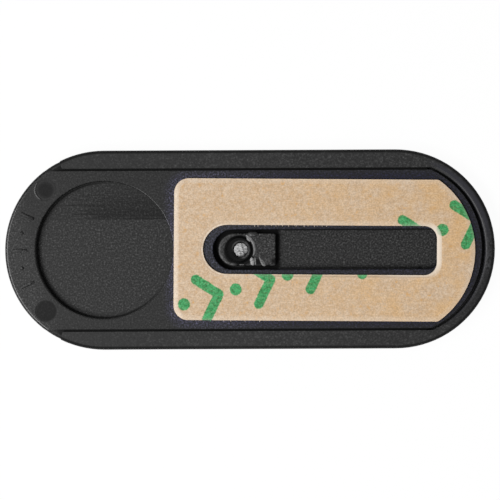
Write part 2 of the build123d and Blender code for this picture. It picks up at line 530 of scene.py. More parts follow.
# %% Base plastic
sunk_height = base_high.z - 0.3 * MM
sunk_start, sunk_end, sunk_least = -17.2 * MM, -15.9 * MM, 0.3
lamp_side_start, lamp_side_end = base_low.x + 1.3 * MM, base_low.x + 3.4 * MM
lamp_side_lean = 0.25
plain_roughness, haze_roughness, dull_roughness, rim_roughness = 0.59, 0.62, 0.8, 0.27
smooth_relief = 0.1
base_relief = 0.012 * MM


def raise_grain(tree, shader, skin, smooth_places, depth):
    """Give a plastic its grained relief, all but flat in smooth places, and its plain shine."""
    height = product(tree, skin["Height"], blend(tree, smooth_places, 1.0, smooth_relief))
    bump = add(tree, "Bump", {"Height": height, "Distance": depth})
    tree.links.new(bump.outputs["Normal"], shader.inputs["Normal"])
    shader.inputs["Specular IOR Level"].default_value = 0.33


# Painted shade: the sunk step under the lips, masked here, is painted near black below.
below_step = calc(tree, "LESS_THAN", place["Z"], sunk_height)
sunk = product(tree, below_step, fade(tree, place["X"], sunk_start, sunk_end, sunk_least, 1.0))
# Painted light: the nose's end, leaning to the side towards the lamp, is painted greyer.
leaning_x = calc(tree, "ADD", place["X"], product(tree, place["Y"], lamp_side_lean))
lamp_side_light = fade(tree, leaning_x, lamp_side_start, lamp_side_end, 1.0, 0.0)
bare = tint(tree, lamp_side_light, grey(22), grey(34))
body = tint(tree, haze, bare, blue_tone)
grained = tint(tree, 1.0, body, skin["Fleck"], "MULTIPLY")
pinned = tint(tree, pins, grained, grey(14))
rimmed = tint(tree, pin_rims, pinned, grey(42))
# Painted light: the opening's lower left edge gets a lighter grey.
edged = tint(tree, painted_edge_light, rimmed, grey(72))
tree.links.new(tint(tree, sunk, edged, grey(2)), shader.inputs["Base Color"])
rough = blend(tree, haze, plain_roughness, haze_roughness)
rough = product(tree, rough, fade(tree, skin["Shade"], 0.0, 2.0, 0.9, 1.1))
rough = blend(tree, largest(tree, pins, sunk), rough, dull_roughness)
tree.links.new(blend(tree, rims, rough, rim_roughness), shader.inputs["Roughness"])
raise_grain(tree, shader, skin, largest(tree, pins, rims), base_relief)
frame["nodes"]["base_plate"].material_slots[0].material = base_plastic
print("base plastic on base_plate,", len(tree.nodes), "nodes")

# %% [markdown]
# ## Black plastic of the cover: the strip
#
# The cover is the other moulding. A strip across its inner face, seen through the camera opening, is
# smoother and darker, with fine drag lines along the slide. Noise stretched along X draws the lines, and
# noise that changes from row to row frays the strip's near end. The marks on this side are masked by
# height, so that they stay off the plain front face.

# %% Strip on the inner face
inner_face = 0.5 * MM
strip_foot, strip_top, strip_start = 2.62 * MM, 7.2 * MM, -14.2 * MM
foot_blur, start_blur, start_least = 0.03 * MM, 0.6 * MM, 0.3
rows_per_metre, fray = 4000.0, 12 * MM
drag_scale = (260, 9000, 1)

cover_plastic, tree, shader = new_finish("cover_plastic")
skin = use_group(tree, grain, {"Grain Scale": 6600.0, "Contrast": 8.5})
where, place = coordinates(tree)
inside = calc(tree, "GREATER_THAN", place["Z"], inner_face)
above_foot = fade(tree, place["Y"], strip_foot - foot_blur, strip_foot + foot_blur)
below_top = fade(tree, place["Y"], strip_foot, strip_top, 1.0, 0.0)
row_place = add(tree, "CombineXYZ", {1: product(tree, place["Y"], rows_per_metre)}).outputs[0]
row_shift = product(tree, calc(tree, "SUBTRACT", cloud(tree, row_place, 1.0), 0.5), fray)
frayed_x = calc(tree, "ADD", place["X"], row_shift)
past_start = fade(tree, frayed_x, strip_start - start_blur, strip_start + start_blur, start_least, 1.0)
drag_place = add(tree, "Mapping", {"Vector": where, "Scale": drag_scale}).outputs[0]
drag = fade(tree, cloud(tree, drag_place, 1.0, 3.0), 0.3, 0.7, 0.55, 1.0)
strip = product(tree, above_foot, below_top, past_start, drag, inside)
print("strip from", strip_foot / MM, "to", strip_top / MM, "mm off the middle")

# %% [markdown]
# ## Black plastic of the cover: the stop lug
#
# The lug stands up in the slot and is a shade greyer than the rest. Its sunk well is smooth and glossy
# where the hot gate was; the well and a band round it are also painted near black, as painted shade. A
# broken, pale ring runs round the gate's stub, and its right side, where the stub's shadow falls, is
# painted brighter, as painted light. The lug's round tip is smoother and painted grey: a painted
# highlight on the edge that faces the lamp, and partly wear where it meets the slot's end.

# %% Well, ring and tip of the lug
lug_floor, lug_half, lug_end = 1.5 * MM, 1.5 * MM, 2.4 * MM
gloss_and_shade_centre = Vector((-0.89, -0.1, 0)) * MM
gloss_and_shade_radius, gloss_and_shade_blur = 1.36 * MM, 0.12 * MM
stub_centre = Vector((-0.79, 0, 0)) * MM
stub_ring_radius, stub_ring_half = 0.73 * MM, 0.12 * MM
stub_start, stub_end = stub_centre.x - 0.95 * MM, stub_centre.x + 0.1 * MM
stub_least, stub_most, stub_lean = 0.08, 0.8, 0.8
tip_centre = Vector((-1.315, 0, 0)) * MM
tip_radius, tip_half, tip_blur = 1.28 * MM, 0.2 * MM, 0.3 * MM

off_middle = calc(tree, "ABSOLUTE", place["Y"])
raised = calc(tree, "GREATER_THAN", place["Z"], lug_floor)
lug_wide = calc(tree, "LESS_THAN", off_middle, lug_half)
on_lug = product(tree, raised, lug_wide, calc(tree, "LESS_THAN", place["X"], lug_end))
# Painted shade, partly real gloss: the well and a band round it are glossy and painted near black below.
well = product(tree, place_spot(tree, gloss_and_shade_centre, gloss_and_shade_radius, gloss_and_shade_blur)["Mask"], inside)
patchy = fade(tree, cloud(tree, where, 2400.0), 0.35, 0.6, 0.35, 1.0)
# Painted highlight, partly wear: the tip's edge towards the lamp, lower side most, is painted grey.
tip_rim = place_spot(tree, tip_centre, tip_radius, tip_half)["Rim"]
tip_near = fade(tree, place["X"], tip_centre.x - tip_blur, tip_centre.x + tip_blur, 1.0, 0.0)
tip_low = fade(tree, place["Y"], -MM, MM, 1.0, 0.5)
tip = product(tree, tip_rim, tip_near, patchy, tip_low, inside)
stub_ring = place_spot(tree, stub_centre, stub_ring_radius, stub_ring_half)["Rim"]
stub_side = calc(tree, "ADD", place["X"], product(tree, place["Y"], stub_lean))
stub_share = fade(tree, stub_side, stub_start, stub_end, stub_least, stub_most)
stub = product(tree, stub_ring, inside, patchy, stub_share)
print("lug marks: well, ring round the stub, worn tip")

# %% [markdown]
# ## Black plastic of the cover: dull and dark places
#
# Painted shadow lies at the foot of the camera opening, on its left side, and painted shade in a few
# spots: a notch by the lug, the lug's lower right corner and the slot's far lower corner. The floor is
# dull and painted dark round the lug's foot and along two lines at the foot of the slot's edges, as
# painted shade. The outer rim is dull and painted dark too, as painted shade.

# %% Dark places on the cover
floor_top = 1.0 * MM
dark_spots = (
    (Vector((0.70, -1.05, 0)) * MM, 0.27 * MM, 0.13 * MM),
    (Vector((2.12, -1.0, 0)) * MM, 0.28 * MM, 0.2 * MM),
    (Vector((14.6, -1.72, 0)) * MM, 0.24 * MM, 0.17 * MM),
)
ring_shadow_inset, ring_shadow_half, ring_shadow_share = 0.11 * MM, 0.13 * MM, 0.75
foot_start, foot_rise = -3.3 * MM, 0.2 * MM
foot_end, foot_fade = 2.3 * MM, 0.5 * MM
foot_half = 1.75 * MM
edge_shade_lines = ((1.68 * MM, 0.1 * MM, 1.0), (-1.6 * MM, 0.14 * MM, 0.6))
rim_inset, rim_half, rim_share = 0.18 * MM, 0.18 * MM, 0.85
straight_half = cover_high.x - cover_high.y

# Painted shade: dark spots in a notch by the lug, at the lug's lower right corner and at the slot's far
# corner.
spot_shade = 0.0
for centre, radius, softness in dark_spots:
    spot_shade = largest(tree, spot_shade, place_spot(tree, centre, radius, softness)["Mask"])
# Painted shadow: a dark ring at the foot of the opening's wall, on its left side.
foot_ring = place_spot(tree, opening, opening_radius - ring_shadow_inset, ring_shadow_half)
ring_shadow = product(tree, foot_ring["Rim"], foot_ring["Left Side"], ring_shadow_share)
# Painted shade: the floor round the lug's foot and two lines at the foot of the slot's edges are painted
# dark.
past_foot = fade(tree, place["X"], foot_start, foot_start + foot_rise)
before_end = fade(tree, place["X"], foot_end, foot_end + foot_fade, 1.0, 0.0)
in_slot = calc(tree, "LESS_THAN", off_middle, foot_half)
foot = product(tree, past_foot, before_end, in_slot)
edge_shade = 0.0
for line_y, line_half, line_share in edge_shade_lines:
    from_line = distance_from(tree, place["Y"], line_y)
    edge_shade = largest(tree, edge_shade, fade(tree, from_line, 0.0, line_half, line_share, 0.0))
floor_dark = largest(tree, foot, product(tree, edge_shade, past_foot))
floor_dark = product(tree, floor_dark, calc(tree, "LESS_THAN", place["Z"], floor_top))
dark = product(tree, largest(tree, spot_shade, ring_shadow, floor_dark), inside)
# Painted shade: the outer rim is painted dark.
past_straight = calc(tree, "SUBTRACT", calc(tree, "ABSOLUTE", place["X"]), straight_half)
from_axis = flat_length(tree, largest(tree, past_straight, 0.0), place["Y"])
from_rim = distance_from(tree, from_axis, cover_high.y - rim_inset)
above_floor = calc(tree, "GREATER_THAN", place["Z"], floor_top)
rim = product(tree, fade(tree, from_rim, 0.0, rim_half, rim_share, 0.0), above_floor)
dark = largest(tree, dark, rim)
print("dark spots:", len(dark_spots), "rubbed lines:", len(edge_shade_lines))

# %% [markdown]
# ## Black plastic of the cover: end wall and rails
#
# The far end of the moulding is painted a shade darker, as painted light falloff away from the lamp. Its
# wall has a burnished inner rim, painted a little lighter and bluer as a painted reflection, and, on the
# upper half, a bluish slope painted lighter as a painted highlight. The rails grow lighter from the nose
# to the middle. The grain is crisp only where the base never rubs, inside the camera opening and along
# the slot, and about half as strong elsewhere.

# %% End wall, rails and grain
tail_centre = Vector((12.6, 0, 0)) * MM
tail_rim_radius, tail_rim_half = 7.63 * MM, 0.13 * MM
tail_rim_start, tail_rim_end = 15.8 * MM, 18.6 * MM
slope_radius, slope_half, slope_rise = 7.9 * MM, 0.32 * MM, 3 * MM
wall_start, wall_end = 17.0 * MM, 19.0 * MM
rail_half, rail_blur = 6.3 * MM, 0.3 * MM
rail_dark_x, rail_light_x = -12 * MM, 0.0
rail_grain = 0.48

tail_rim = place_spot(tree, tail_centre, tail_rim_radius, tail_rim_half)["Rim"]
tail = product(tree, tail_rim, fade(tree, place["X"], tail_rim_start, tail_rim_end), raised)
slope_rim = place_spot(tree, tail_centre, slope_radius, slope_half)["Rim"]
slope_far = fade(tree, place["X"], tail_rim_start - MM, tail_rim_start + MM)
slope_upper = fade(tree, place["Y"], 0.0, slope_rise)
slope = product(tree, slope_rim, slope_far, inside, slope_upper)
on_rail = product(tree, fade(tree, off_middle, rail_half, rail_half + rail_blur), inside)
lighter = product(tree, on_rail, fade(tree, place["X"], rail_dark_x, rail_light_x))
at_wall = fade(tree, place["X"], wall_start, wall_end)
in_opening = place_spot(tree, opening, opening_radius, MM)["Mask"]
unrubbed = product(tree, largest(tree, in_opening, in_slot), inside)
grain_share = blend(tree, unrubbed, rail_grain, 1.0)
print("end wall from", wall_start / MM, "mm, grain on the rails at", rail_grain)

# %% Cover plastic
strip_roughness, dark_roughness, well_roughness, worn_roughness = 0.74, 0.95, 0.24, 0.4
skin_roughness = (0.55, 0.67)
strip_smoothness = 0.6
ring_reach = 0.6 * MM
cover_relief = 0.013 * MM

black = tint(tree, lighter, grey(29), grey(35))
# Painted light falloff: the far end is painted darker.
black = tint(tree, at_wall, black, linear(25, 25, 26))
body = tint(tree, on_lug, black, grey(35))
stripped = tint(tree, strip, body, grey(12))
grained = tint(tree, grain_share, stripped, skin["Fleck"], "MULTIPLY")
# Painted highlight: the bluish slope on the wall's upper half is painted lighter.
sloped = tint(tree, slope, grained, linear(40, 40, 47))
# Painted shade: the well, the dark places and the outer rim are painted near black.
sunk = tint(tree, largest(tree, well, dark), sloped, grey(5))
# Painted light: the ring's right side, in the stub's shadow, is painted brighter than its left.
ring_right = fade(tree, place["X"], stub_centre.x, stub_centre.x + ring_reach)
ringed = tint(tree, stub, sunk, tint(tree, ring_right, grey(112), grey(235)))
# Painted highlight, partly wear: the lug's tip is painted grey.
tipped = tint(tree, tip, ringed, grey(84))
# Painted reflection: the burnished inner rim of the end wall is painted lighter and bluer.
tree.links.new(tint(tree, tail, tipped, linear(28, 28, 33)), shader.inputs["Base Color"])
rough = fade(tree, skin["Shade"], 0.0, 2.0, *skin_roughness)
rough = blend(tree, strip, rough, strip_roughness)
rough = blend(tree, dark, rough, dark_roughness)
rough = blend(tree, well, rough, well_roughness)
rough = blend(tree, largest(tree, tip, tail), rough, worn_roughness)
tree.links.new(rough, shader.inputs["Roughness"])
smooth_places = largest(tree, product(tree, strip, strip_smoothness), well)
raise_grain(tree, shader, skin, smooth_places, cover_relief)
frame["nodes"]["cover"].material_slots[0].material = cover_plastic
print("cover plastic on cover,", len(tree.nodes), "nodes")

# %% [markdown]
# ## The tape
#
# Between the base and the paper lies double-sided tape, a milky acrylic film. Only its cut edge shows. A
# pale cream with faint clouds is enough, a little glossy because the glue is wet to the touch.

# %% Tape finish
pad_tape, tree, shader = new_finish("pad_tape")
place = add(tree, "TexCoord").outputs["Object"]
milky = cloud(tree, place, 900.0, 3.0)
cream = tint(tree, milky, linear(214, 204, 184), linear(232, 225, 208))
tree.links.new(cream, shader.inputs["Base Color"])
shader.inputs["Roughness"].default_value = 0.35
frame["nodes"]["adhesive_pad"].material_slots[0].material = pad_tape
print("tape finish on adhesive_pad")

# %% [markdown]
# ## The kraft paper, with its pressed edge
#
# The die that cuts the paper also presses its edge down, so the edge rolls over, deepest where the cut
# lies across the pull of the paper. Edges that face the light shine, the others fall into shade. The
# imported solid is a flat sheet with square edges, so a copy of it takes its place. Its loose triangles are
# merged, and each point on the cut notes which way it faces.

# %% Cut of the paper
tail_press = 0.4
sheen_lean = 0.7
merge_distance = 1e-7

bm = bmesh.new()
bm.from_mesh(frame["nodes"]["release_liner"].data)
pale_and_sheen = bm.verts.layers.float.new("pale_and_sheen")
bared_and_sheen = bm.verts.layers.float.new("bared_and_sheen")
strip_number = bm.faces.layers.int.new("strip_number")
bmesh.ops.remove_doubles(bm, verts=bm.verts, dist=merge_distance)
bm.normal_update()
top_faces = [face for face in bm.faces if face.normal.z > 0.9]
cut_points = list({vertex for face in top_faces for vertex in face.verts})
cut_tree = KDTree(len(cut_points))
for index, vertex in enumerate(cut_points):
    cut_tree.insert(vertex.co, index)
cut_tree.balance()
facings = [vertex.normal.xy.normalized() for vertex in cut_points]
cut_across = [max(-facing.x, tail_press * facing.x) for facing in facings]
# The pale cut, partly painted highlight, is strongest where the cut faces left and down, towards the lamp.
cut_toward_lamp = [min(max(-facing.x, 0.0) * (1 - sheen_lean * facing.y), 1.0) for facing in facings]
print("points on the cut:", len(cut_points))

# %% [markdown]
# ## Strips that roll over
#
# The top is inset a few times. A layer on the faces numbers the strips, so each point knows how many
# strips it lies from the cut and sinks to match, which keeps the outline exactly where it is. Two
# attributes stay on the points for the finish, and both paint the cut paler: how far each point is
# pressed, and how much pale fibre the cut has bared there. Both are strongest where the cut faces left
# and down, towards the lamp, so they are partly painted highlight.

# %% Paper sheet with a rolled edge
strip_widths = (0.11 * MM, 0.13 * MM, 0.13 * MM, 0.08 * MM)
point_drops = (0.097 * MM, 0.056 * MM, 0.020 * MM, 0.002 * MM, 0.0)
point_press = (1.0, 1.0, 0.95, 0.7, 0.0)
point_bare = (1.0, 0.7, 0.0, 0.0, 0.0)
least_press = 0.2
least_pale = 0.5

for number, width in enumerate(strip_widths, 1):
    rolled = bmesh.ops.inset_region(
        bm, faces=top_faces, thickness=width, use_boundary=True, use_even_offset=True
    )
    for face in rolled["faces"]:
        face[strip_number] = number
for face in top_faces:
    face[strip_number] = len(point_drops)
for vertex in bm.verts:
    from_cut = max(face[strip_number] for face in vertex.link_faces) - 1
    if from_cut >= 0:
        nearest_cut = cut_tree.find(vertex.co)[1]
        across = cut_across[nearest_cut]
        share = least_press + (1 - least_press) * across
        vertex[pale_and_sheen] = max(share, least_pale) * point_press[from_cut]
        wider = point_press[from_cut] - point_bare[from_cut]
        vertex[bared_and_sheen] = point_bare[from_cut] + cut_toward_lamp[nearest_cut] * wider
        vertex.co.z -= share * point_drops[from_cut]
for face in bm.faces:
    face.smooth = 0 < face[strip_number] < len(point_drops)
liner_mesh = bpy.data.meshes.new("liner_sheet")
bm.to_mesh(liner_mesh)
bm.free()
liner_sheet = bpy.data.objects.new("liner_sheet", liner_mesh)
bpy.context.scene.collection.objects.link(liner_sheet)
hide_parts("release_liner")
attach(liner_sheet, "base")
print("liner_sheet:", len(liner_mesh.polygons), "faces,", len(strip_widths), "strips")

# %% [markdown]
# ## The paper's colour
#
# Kraft paper is tan with cloudy patches, warmer towards the tail, with rusty flecks and fine fibres. It
# is painted paler where the die has pressed it, most on cuts that face the lamp, which is partly a
# painted highlight. A faint darker line, painted shade in the crease at the edge of the roll, runs along
# the window's lower cut, and two fine lines, one pale and one brown, follow the window's round tip.

# %% Bare kraft paper
rust_share, press_share = 0.9, 0.35

liner_paper, tree, shader = new_finish("liner_paper")
where, place = coordinates(tree)
patches = cloud(tree, where, 650.0, 3.0)
mottle = cloud(tree, where, 3300.0, 4.0, 0.7)
specks = cloud(tree, where, 7600.0, 2.0, 0.6)
rust = fade(tree, cloud(tree, where, 1900.0, 4.0, 0.65), 0.58, 0.74)
fibre_sockets = {"Vector": where, "Rotation": (0, 0, 0.12), "Scale": (1400, 7000, 3000)}
fibres = cloud(tree, add(tree, "Mapping", fibre_sockets).outputs[0], 1.0)
kraft = tint(tree, fade(tree, mottle, 0.3, 0.7), linear(194, 163, 128), linear(210, 187, 161))
warmth = fade(tree, place["X"], pad_low.x, pad_high.x, 0.0, 0.85)
warm_patches = product(tree, fade(tree, patches, 0.3, 0.7), warmth)
kraft = tint(tree, warm_patches, kraft, linear(209, 171, 123))
kraft = tint(tree, product(tree, rust, rust_share), kraft, linear(198, 152, 92))
kraft = tint(tree, fade(tree, fibres, 0.5, 0.8, 0.0, 0.4), kraft, linear(224, 204, 178))
# Painted highlight, partly real: pressed cuts are painted paler, most where they face the lamp.
cut_edge = add(tree, "Attribute", attribute_name="pale_and_sheen").outputs["Fac"]
kraft = tint(tree, product(tree, cut_edge, press_share), kraft, linear(230, 219, 204))
paper_shade = fade(tree, specks, 0.25, 0.75, 0.82, 1.15)
kraft = tint(tree, 1.0, kraft, paper_shade, "MULTIPLY")
print("kraft paper mixed from", len(tree.nodes), "nodes")

# %% Lines along the window
score_y, score_half, score_slope = -2.26 * MM, 0.12 * MM, sin(radians(0.62))
score_start, score_end = 0.5 * MM, 15.6 * MM
window_tip, window_half = Vector((-1.915, 0.021, 0)) * MM, 2.105 * MM
tip_reach = 0.9 * MM
tip_lines = (
    (0.07 * MM, 0.07 * MM, 0.75, linear(238, 226, 210)),
    (0.21 * MM, 0.06 * MM, 0.5, linear(176, 134, 88)),
)

# Painted shade: a faint darker line in the crease at the edge of the roll, below the window.
score_place = calc(tree, "ADD", place["Y"], product(tree, place["X"], score_slope))
from_score = distance_from(tree, score_place, score_y)
crease_shade = product(
    tree,
    fade(tree, from_score, 0.0, score_half, 1.0, 0.0),
    fade(tree, mottle, 0.3, 0.6, 0.2, 0.6),
    fade(tree, place["X"], score_start, score_start + MM),
    fade(tree, place["X"], score_end - MM, score_end, 1.0, 0.0),
)
kraft = tint(tree, crease_shade, kraft, linear(142, 116, 86))
at_tip = fade(tree, place["X"], window_tip.x - tip_reach, window_tip.x, 1.0, 0.0)
for off_cut, softness, strength, colour in tip_lines:
    line = place_spot(tree, window_tip, window_half + off_cut, softness)["Rim"]
    line = product(tree, line, at_tip, fade(tree, mottle, 0.4, 0.6, 0.15, strength))
    kraft = tint(tree, line, kraft, colour)
print("lines round the window's tip:", len(tip_lines))

# %% [markdown]
# ## The green print
#
# A green print runs across the paper at a slant, cut off by the die. It could be an image, but a few
# lines of shader geometry stay sharp at any size: a chevron is the distance to one slanted stroke,
# mirrored, and wrapping the coordinate along the row repeats it. Plain arrows and dots keep the print
# generic. The ink is blotchy and its edge a little ragged, as on any cheap print.

# %% Green print
row_origin = Vector((-3.44, -4.03, 0)) * MM
row_angle = radians(15.8)
row_pitch = 4.6
half_pitch = row_pitch / 2
stroke_tip = Vector((0.8, 0, 0))
stroke_end = Vector((-0.75, 1.75, 0))
stroke_half = 0.42
dot_radius = 0.52
ink_blur, ink_ragged = 0.05, 0.18

row = add(
    tree,
    "Mapping",
    {"Vector": where, "Location": row_origin, "Rotation": (0, 0, row_angle), "Scale": (MM, MM, MM)},
    vector_type="TEXTURE",
).outputs[0]
along = add(tree, "SeparateXYZ", {0: row}).outputs
wrapped = calc(tree, "WRAP", along["X"], half_pitch, -half_pitch)
folded = add(tree, "CombineXYZ", {0: wrapped, 1: calc(tree, "ABSOLUTE", along["Y"])}).outputs[0]
run = stroke_end - stroke_tip
from_tip = move(tree, "SUBTRACT", folded, stroke_tip)
along_run = move(tree, "DOT_PRODUCT", from_tip, run, out="Value")
reached = calc(tree, "DIVIDE", along_run, run.length_squared, clamp=True)
nearest = add(tree, "VectorMath", {0: run, "Scale": reached}, operation="SCALE").outputs[0]
to_stroke = calc(tree, "SUBTRACT", move(tree, "DISTANCE", from_tip, nearest, out="Value"), stroke_half)
shifted = calc(tree, "WRAP", calc(tree, "ADD", along["X"], half_pitch), half_pitch, -half_pitch)
to_dot = calc(tree, "SUBTRACT", flat_length(tree, shifted, along["Y"]), dot_radius)
ragged = product(tree, calc(tree, "SUBTRACT", mottle, 0.5), ink_ragged)
to_ink = calc(tree, "ADD", calc(tree, "MINIMUM", to_stroke, to_dot), ragged)
inked = fade(tree, to_ink, -ink_blur, ink_blur, 1.0, 0.0)
ink = product(tree, inked, fade(tree, fibres, 0.4, 0.9, 0.97, 0.8))
blotches = fade(tree, calc(tree, "ADD", specks, mottle), 0.75, 1.25)
green = tint(tree, blotches, linear(10, 112, 54), linear(60, 172, 104))
printed = tint(tree, ink, kraft, green)
print("print repeats every", row_pitch, "mm")

# %% [markdown]
# ## The pale cut and the paper's shine
#
# The cut is painted pale, in the paper and in the ink alike: partly bared fibres, partly a painted
# highlight on cuts that face the lamp. Most cuts get only a faint share, and the far end of the window,
# which faces the lamp, gets the most. A thin silicone coat gives the paper its shine.

# %% Pale cut and shine
pale_start, pale_full, pale_lean = 11.0 * MM, 15.5 * MM, 0.6
window_near, window_past = 2.7 * MM, 17.3 * MM
cut_share, end_share = 0.12, 0.72
paper_relief = 0.004 * MM

# Painted highlight, partly bared fibre: cuts facing the lamp, and the window's far end most, are painted
# pale.
bare_and_sheen_edge = add(tree, "Attribute", attribute_name="bared_and_sheen").outputs["Fac"]
end_place = calc(tree, "SUBTRACT", place["X"], product(tree, place["Y"], pale_lean))
beside_window = calc(tree, "LESS_THAN", calc(tree, "ABSOLUTE", place["Y"]), window_near)
before_past = calc(tree, "LESS_THAN", place["X"], window_past)
at_end = product(tree, fade(tree, end_place, pale_start, pale_full), beside_window, before_past)
bare_and_sheen_share = product(tree, bare_and_sheen_edge, blend(tree, at_end, cut_share, end_share))
tree.links.new(tint(tree, bare_and_sheen_share, printed, linear(226, 214, 199)), shader.inputs["Base Color"])
shader.inputs["Roughness"].default_value = 0.65
shader.inputs["Specular IOR Level"].default_value = 0.3
shader.inputs["Coat Weight"].default_value = 0.12
shader.inputs["Coat Roughness"].default_value = 0.3
paper_height = calc(tree, "ADD", fibres, mottle)
bump = add(tree, "Bump", {"Height": paper_height, "Distance": paper_relief, "Strength": 0.5})
tree.links.new(bump.outputs["Normal"], shader.inputs["Normal"])
liner_mesh.materials.clear()
liner_mesh.materials.append(liner_paper)
print("paper finish and print on liner_sheet,", len(tree.nodes), "nodes")

# %% [markdown]
# ## Seating small pieces
#
# The marks that moulding leaves are small raised pieces. Each has to sit on the plastic that carries it.
# The base's top is flat, so its height is known. The cover has a well and a stub, so a ray is dropped on
# it to find how high it stands. A second helper turns a finished bmesh into a piece that rides on a body.

# %% Helpers for small pieces
bpy.context.view_layer.update()
depsgraph = bpy.context.evaluated_depsgraph_get()
cover_surface = BVHTree.FromObject(frame["nodes"]["cover"], depsgraph)
paper_surface = BVHTree.FromObject(liner_sheet, depsgraph)
well_centre = Vector((-0.94, 0, 0)) * MM


def cover_height(x, y):
    """Find how high the cover stands at one place, by dropping a ray on it."""
    return cover_surface.ray_cast(Vector((x, y, 2 * cover_high.z)), Vector((0, 0, -1)))[0].z


def new_piece(name, bm, body, material, smooth=True):
    """Turn a bmesh into a piece that rides on a body and takes the given finish."""
    bmesh.ops.recalc_face_normals(bm, faces=bm.faces)
    mesh = bpy.data.meshes.new(name)
    bm.to_mesh(mesh)
    bm.free()
    mesh.materials.append(material)
    if smooth:
        mesh.shade_smooth()
    piece = bpy.data.objects.new(name, mesh)
    bpy.context.scene.collection.objects.link(piece)
    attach(piece, body)
    print(name, "made,", len(mesh.polygons), "faces, rides on", body)
    return piece


print("the lug's well is", round(cover_height(well_centre.x, 0) / MM, 3), "mm high at its centre")

# %% [markdown]
# ## Marks on the nose
#
# Moulding tools mark their cavities with small raised signs. Here they are plain tally bars and dots, set
# round the nose like the figures of a clock. A bar is a cube stretched and bevelled, a dot is a flattened
# sphere, and both sink a little into the base so that no gap shows.

# %% Tally bars and dots
bar_angles = (-24, 0, 24)
dot_angles = (-12, 12)
bar_size = Vector((1.25, 0.27, 0.16)) * MM
bar_bevel = 0.06 * MM
tally_dot_radius = 0.17 * MM
tally_height = 0.09 * MM


def tally_place(angle):
    """A place on the ring round the opening, turned to face its centre."""
    turn = Matrix.Rotation(pi + radians(angle), 4, "Z")
    return Matrix.Translation(nose_centre) @ turn @ Matrix.Translation((mark_ring_radius, 0, 0))


bm = bmesh.new()
for angle in bar_angles:
    lift = Matrix.Translation((0, 0, tally_height - bar_size.z / 2))
    shape = Matrix.Diagonal((*bar_size, 1))
    bmesh.ops.create_cube(bm, size=1.0, matrix=tally_place(angle) @ lift @ shape)
bmesh.ops.bevel(
    bm, geom=bm.edges[:], offset=bar_bevel, segments=2, profile=0.5, affect="EDGES", material=-1
)
for angle in dot_angles:
    shape = Matrix.Diagonal((tally_dot_radius, tally_dot_radius, tally_height, 1))
    dot_matrix = tally_place(angle) @ shape
    bmesh.ops.create_uvsphere(bm, u_segments=20, v_segments=10, radius=1.0, matrix=dot_matrix)
new_piece("cavity_tally", bm, "base", base_plastic)

# %% [markdown]
# ## Torn plastic round the gate
#
# The cover was filled through a gate in the lug's well. Snapping it off tore the plastic: the stub's top
# is a pale, crumbled scar, a raised lip runs round one side of the well, and drops of flash lie beside
# it. On the nose, one ejector pin has squeezed up a thin burr beside its mark. Torn black plastic turns
# white where it was stretched, so one finish mixes black with a streaky pale grey, and an attribute on
# each piece says how pale each point is.

# %% Torn plastic
streak_turn = radians(-52)
streak_scale = (3500, 12000, 4000)
torn_relief = 0.03 * MM

torn_plastic, tree, shader = new_finish("torn_plastic")
where = add(tree, "TexCoord").outputs["Object"]
streak_sockets = {"Vector": where, "Rotation": (0, 0, streak_turn), "Scale": streak_scale}
streaks = cloud(tree, add(tree, "Mapping", streak_sockets).outputs[0], 1.0, 3.0, 0.6)
pale = add(tree, "Attribute", attribute_name="pale").outputs["Fac"]
stretched = product(tree, pale, fade(tree, streaks, 0.35, 0.6, 0.3, 1.0))
tree.links.new(tint(tree, stretched, grey(20), grey(205)), shader.inputs["Base Color"])
tree.links.new(fade(tree, streaks, 0.3, 0.7, 0.3, 0.55), shader.inputs["Roughness"])
bump = add(tree, "Bump", {"Height": streaks, "Distance": torn_relief})
tree.links.new(bump.outputs["Normal"], shader.inputs["Normal"])


def make_pale(bm, share):
    """Write how pale a piece is on all its points and give back the layer."""
    layer = bm.verts.layers.float.new("pale")
    for vertex in bm.verts:
        vertex[layer] = share
    return layer


print("torn plastic ready")

# %% [markdown]
# ## Burr and lip, two swept ribs
#
# The burr beside the pin mark and the lip round the well are the same thing at two sizes: a small domed
# rib that runs part of the way round a centre and thins out towards its ends. Spin sweeps the rib's
# profile, and a swell along the sweep thins the ends.

# %% Domed rib
rib_profile = ((-0.5, -0.4), (-0.36, 0.55), (0.0, 1.0), (0.36, 0.55), (0.5, -0.4))
rib_thin = 0.3


def spin_rib(radius, width, height, start, sweep, steps=28):
    """Sweep a small domed profile round the origin, swelling from thin ends, and close both ends."""
    bm = bmesh.new()
    verts = [bm.verts.new((radius + across * width, 0, up * height)) for across, up in rib_profile]
    edges = [bm.edges.new(pair) for pair in zip(verts, verts[1:] + verts[:1])]
    bmesh.ops.spin(bm, geom=verts + edges, axis=(0, 0, 1), angle=sweep, steps=steps, use_merge=False)
    open_edges = [edge for edge in bm.edges if edge.is_boundary]
    bmesh.ops.holes_fill(bm, edges=open_edges, sides=len(rib_profile))
    for vertex in bm.verts:
        share = atan2(vertex.co.y, vertex.co.x) / sweep
        swell = rib_thin + (1 - rib_thin) * sin(pi * min(max(share, 0.0), 1.0)) ** 0.5
        reach = vertex.co.xy.length
        vertex.co.xy *= (radius + (reach - radius) * swell) / reach
        vertex.co.z *= swell
    bmesh.ops.rotate(bm, verts=bm.verts, cent=(0, 0, 0), matrix=Matrix.Rotation(start, 3, "Z"))
    return bm


print("rib profile of", len(rib_profile), "points")

# %% Burr beside the upper pin mark
burr_radius, burr_width, burr_height = 0.91 * MM, 0.2 * MM, 0.045 * MM
burr_start, burr_sweep = radians(138), radians(105)
burr_pale = 0.1

bm = spin_rib(burr_radius, burr_width, burr_height, burr_start, burr_sweep)
bmesh.ops.translate(bm, verts=bm.verts, vec=upper_mark)
make_pale(bm, burr_pale)
new_piece("pin_burr", bm, "base", torn_plastic)

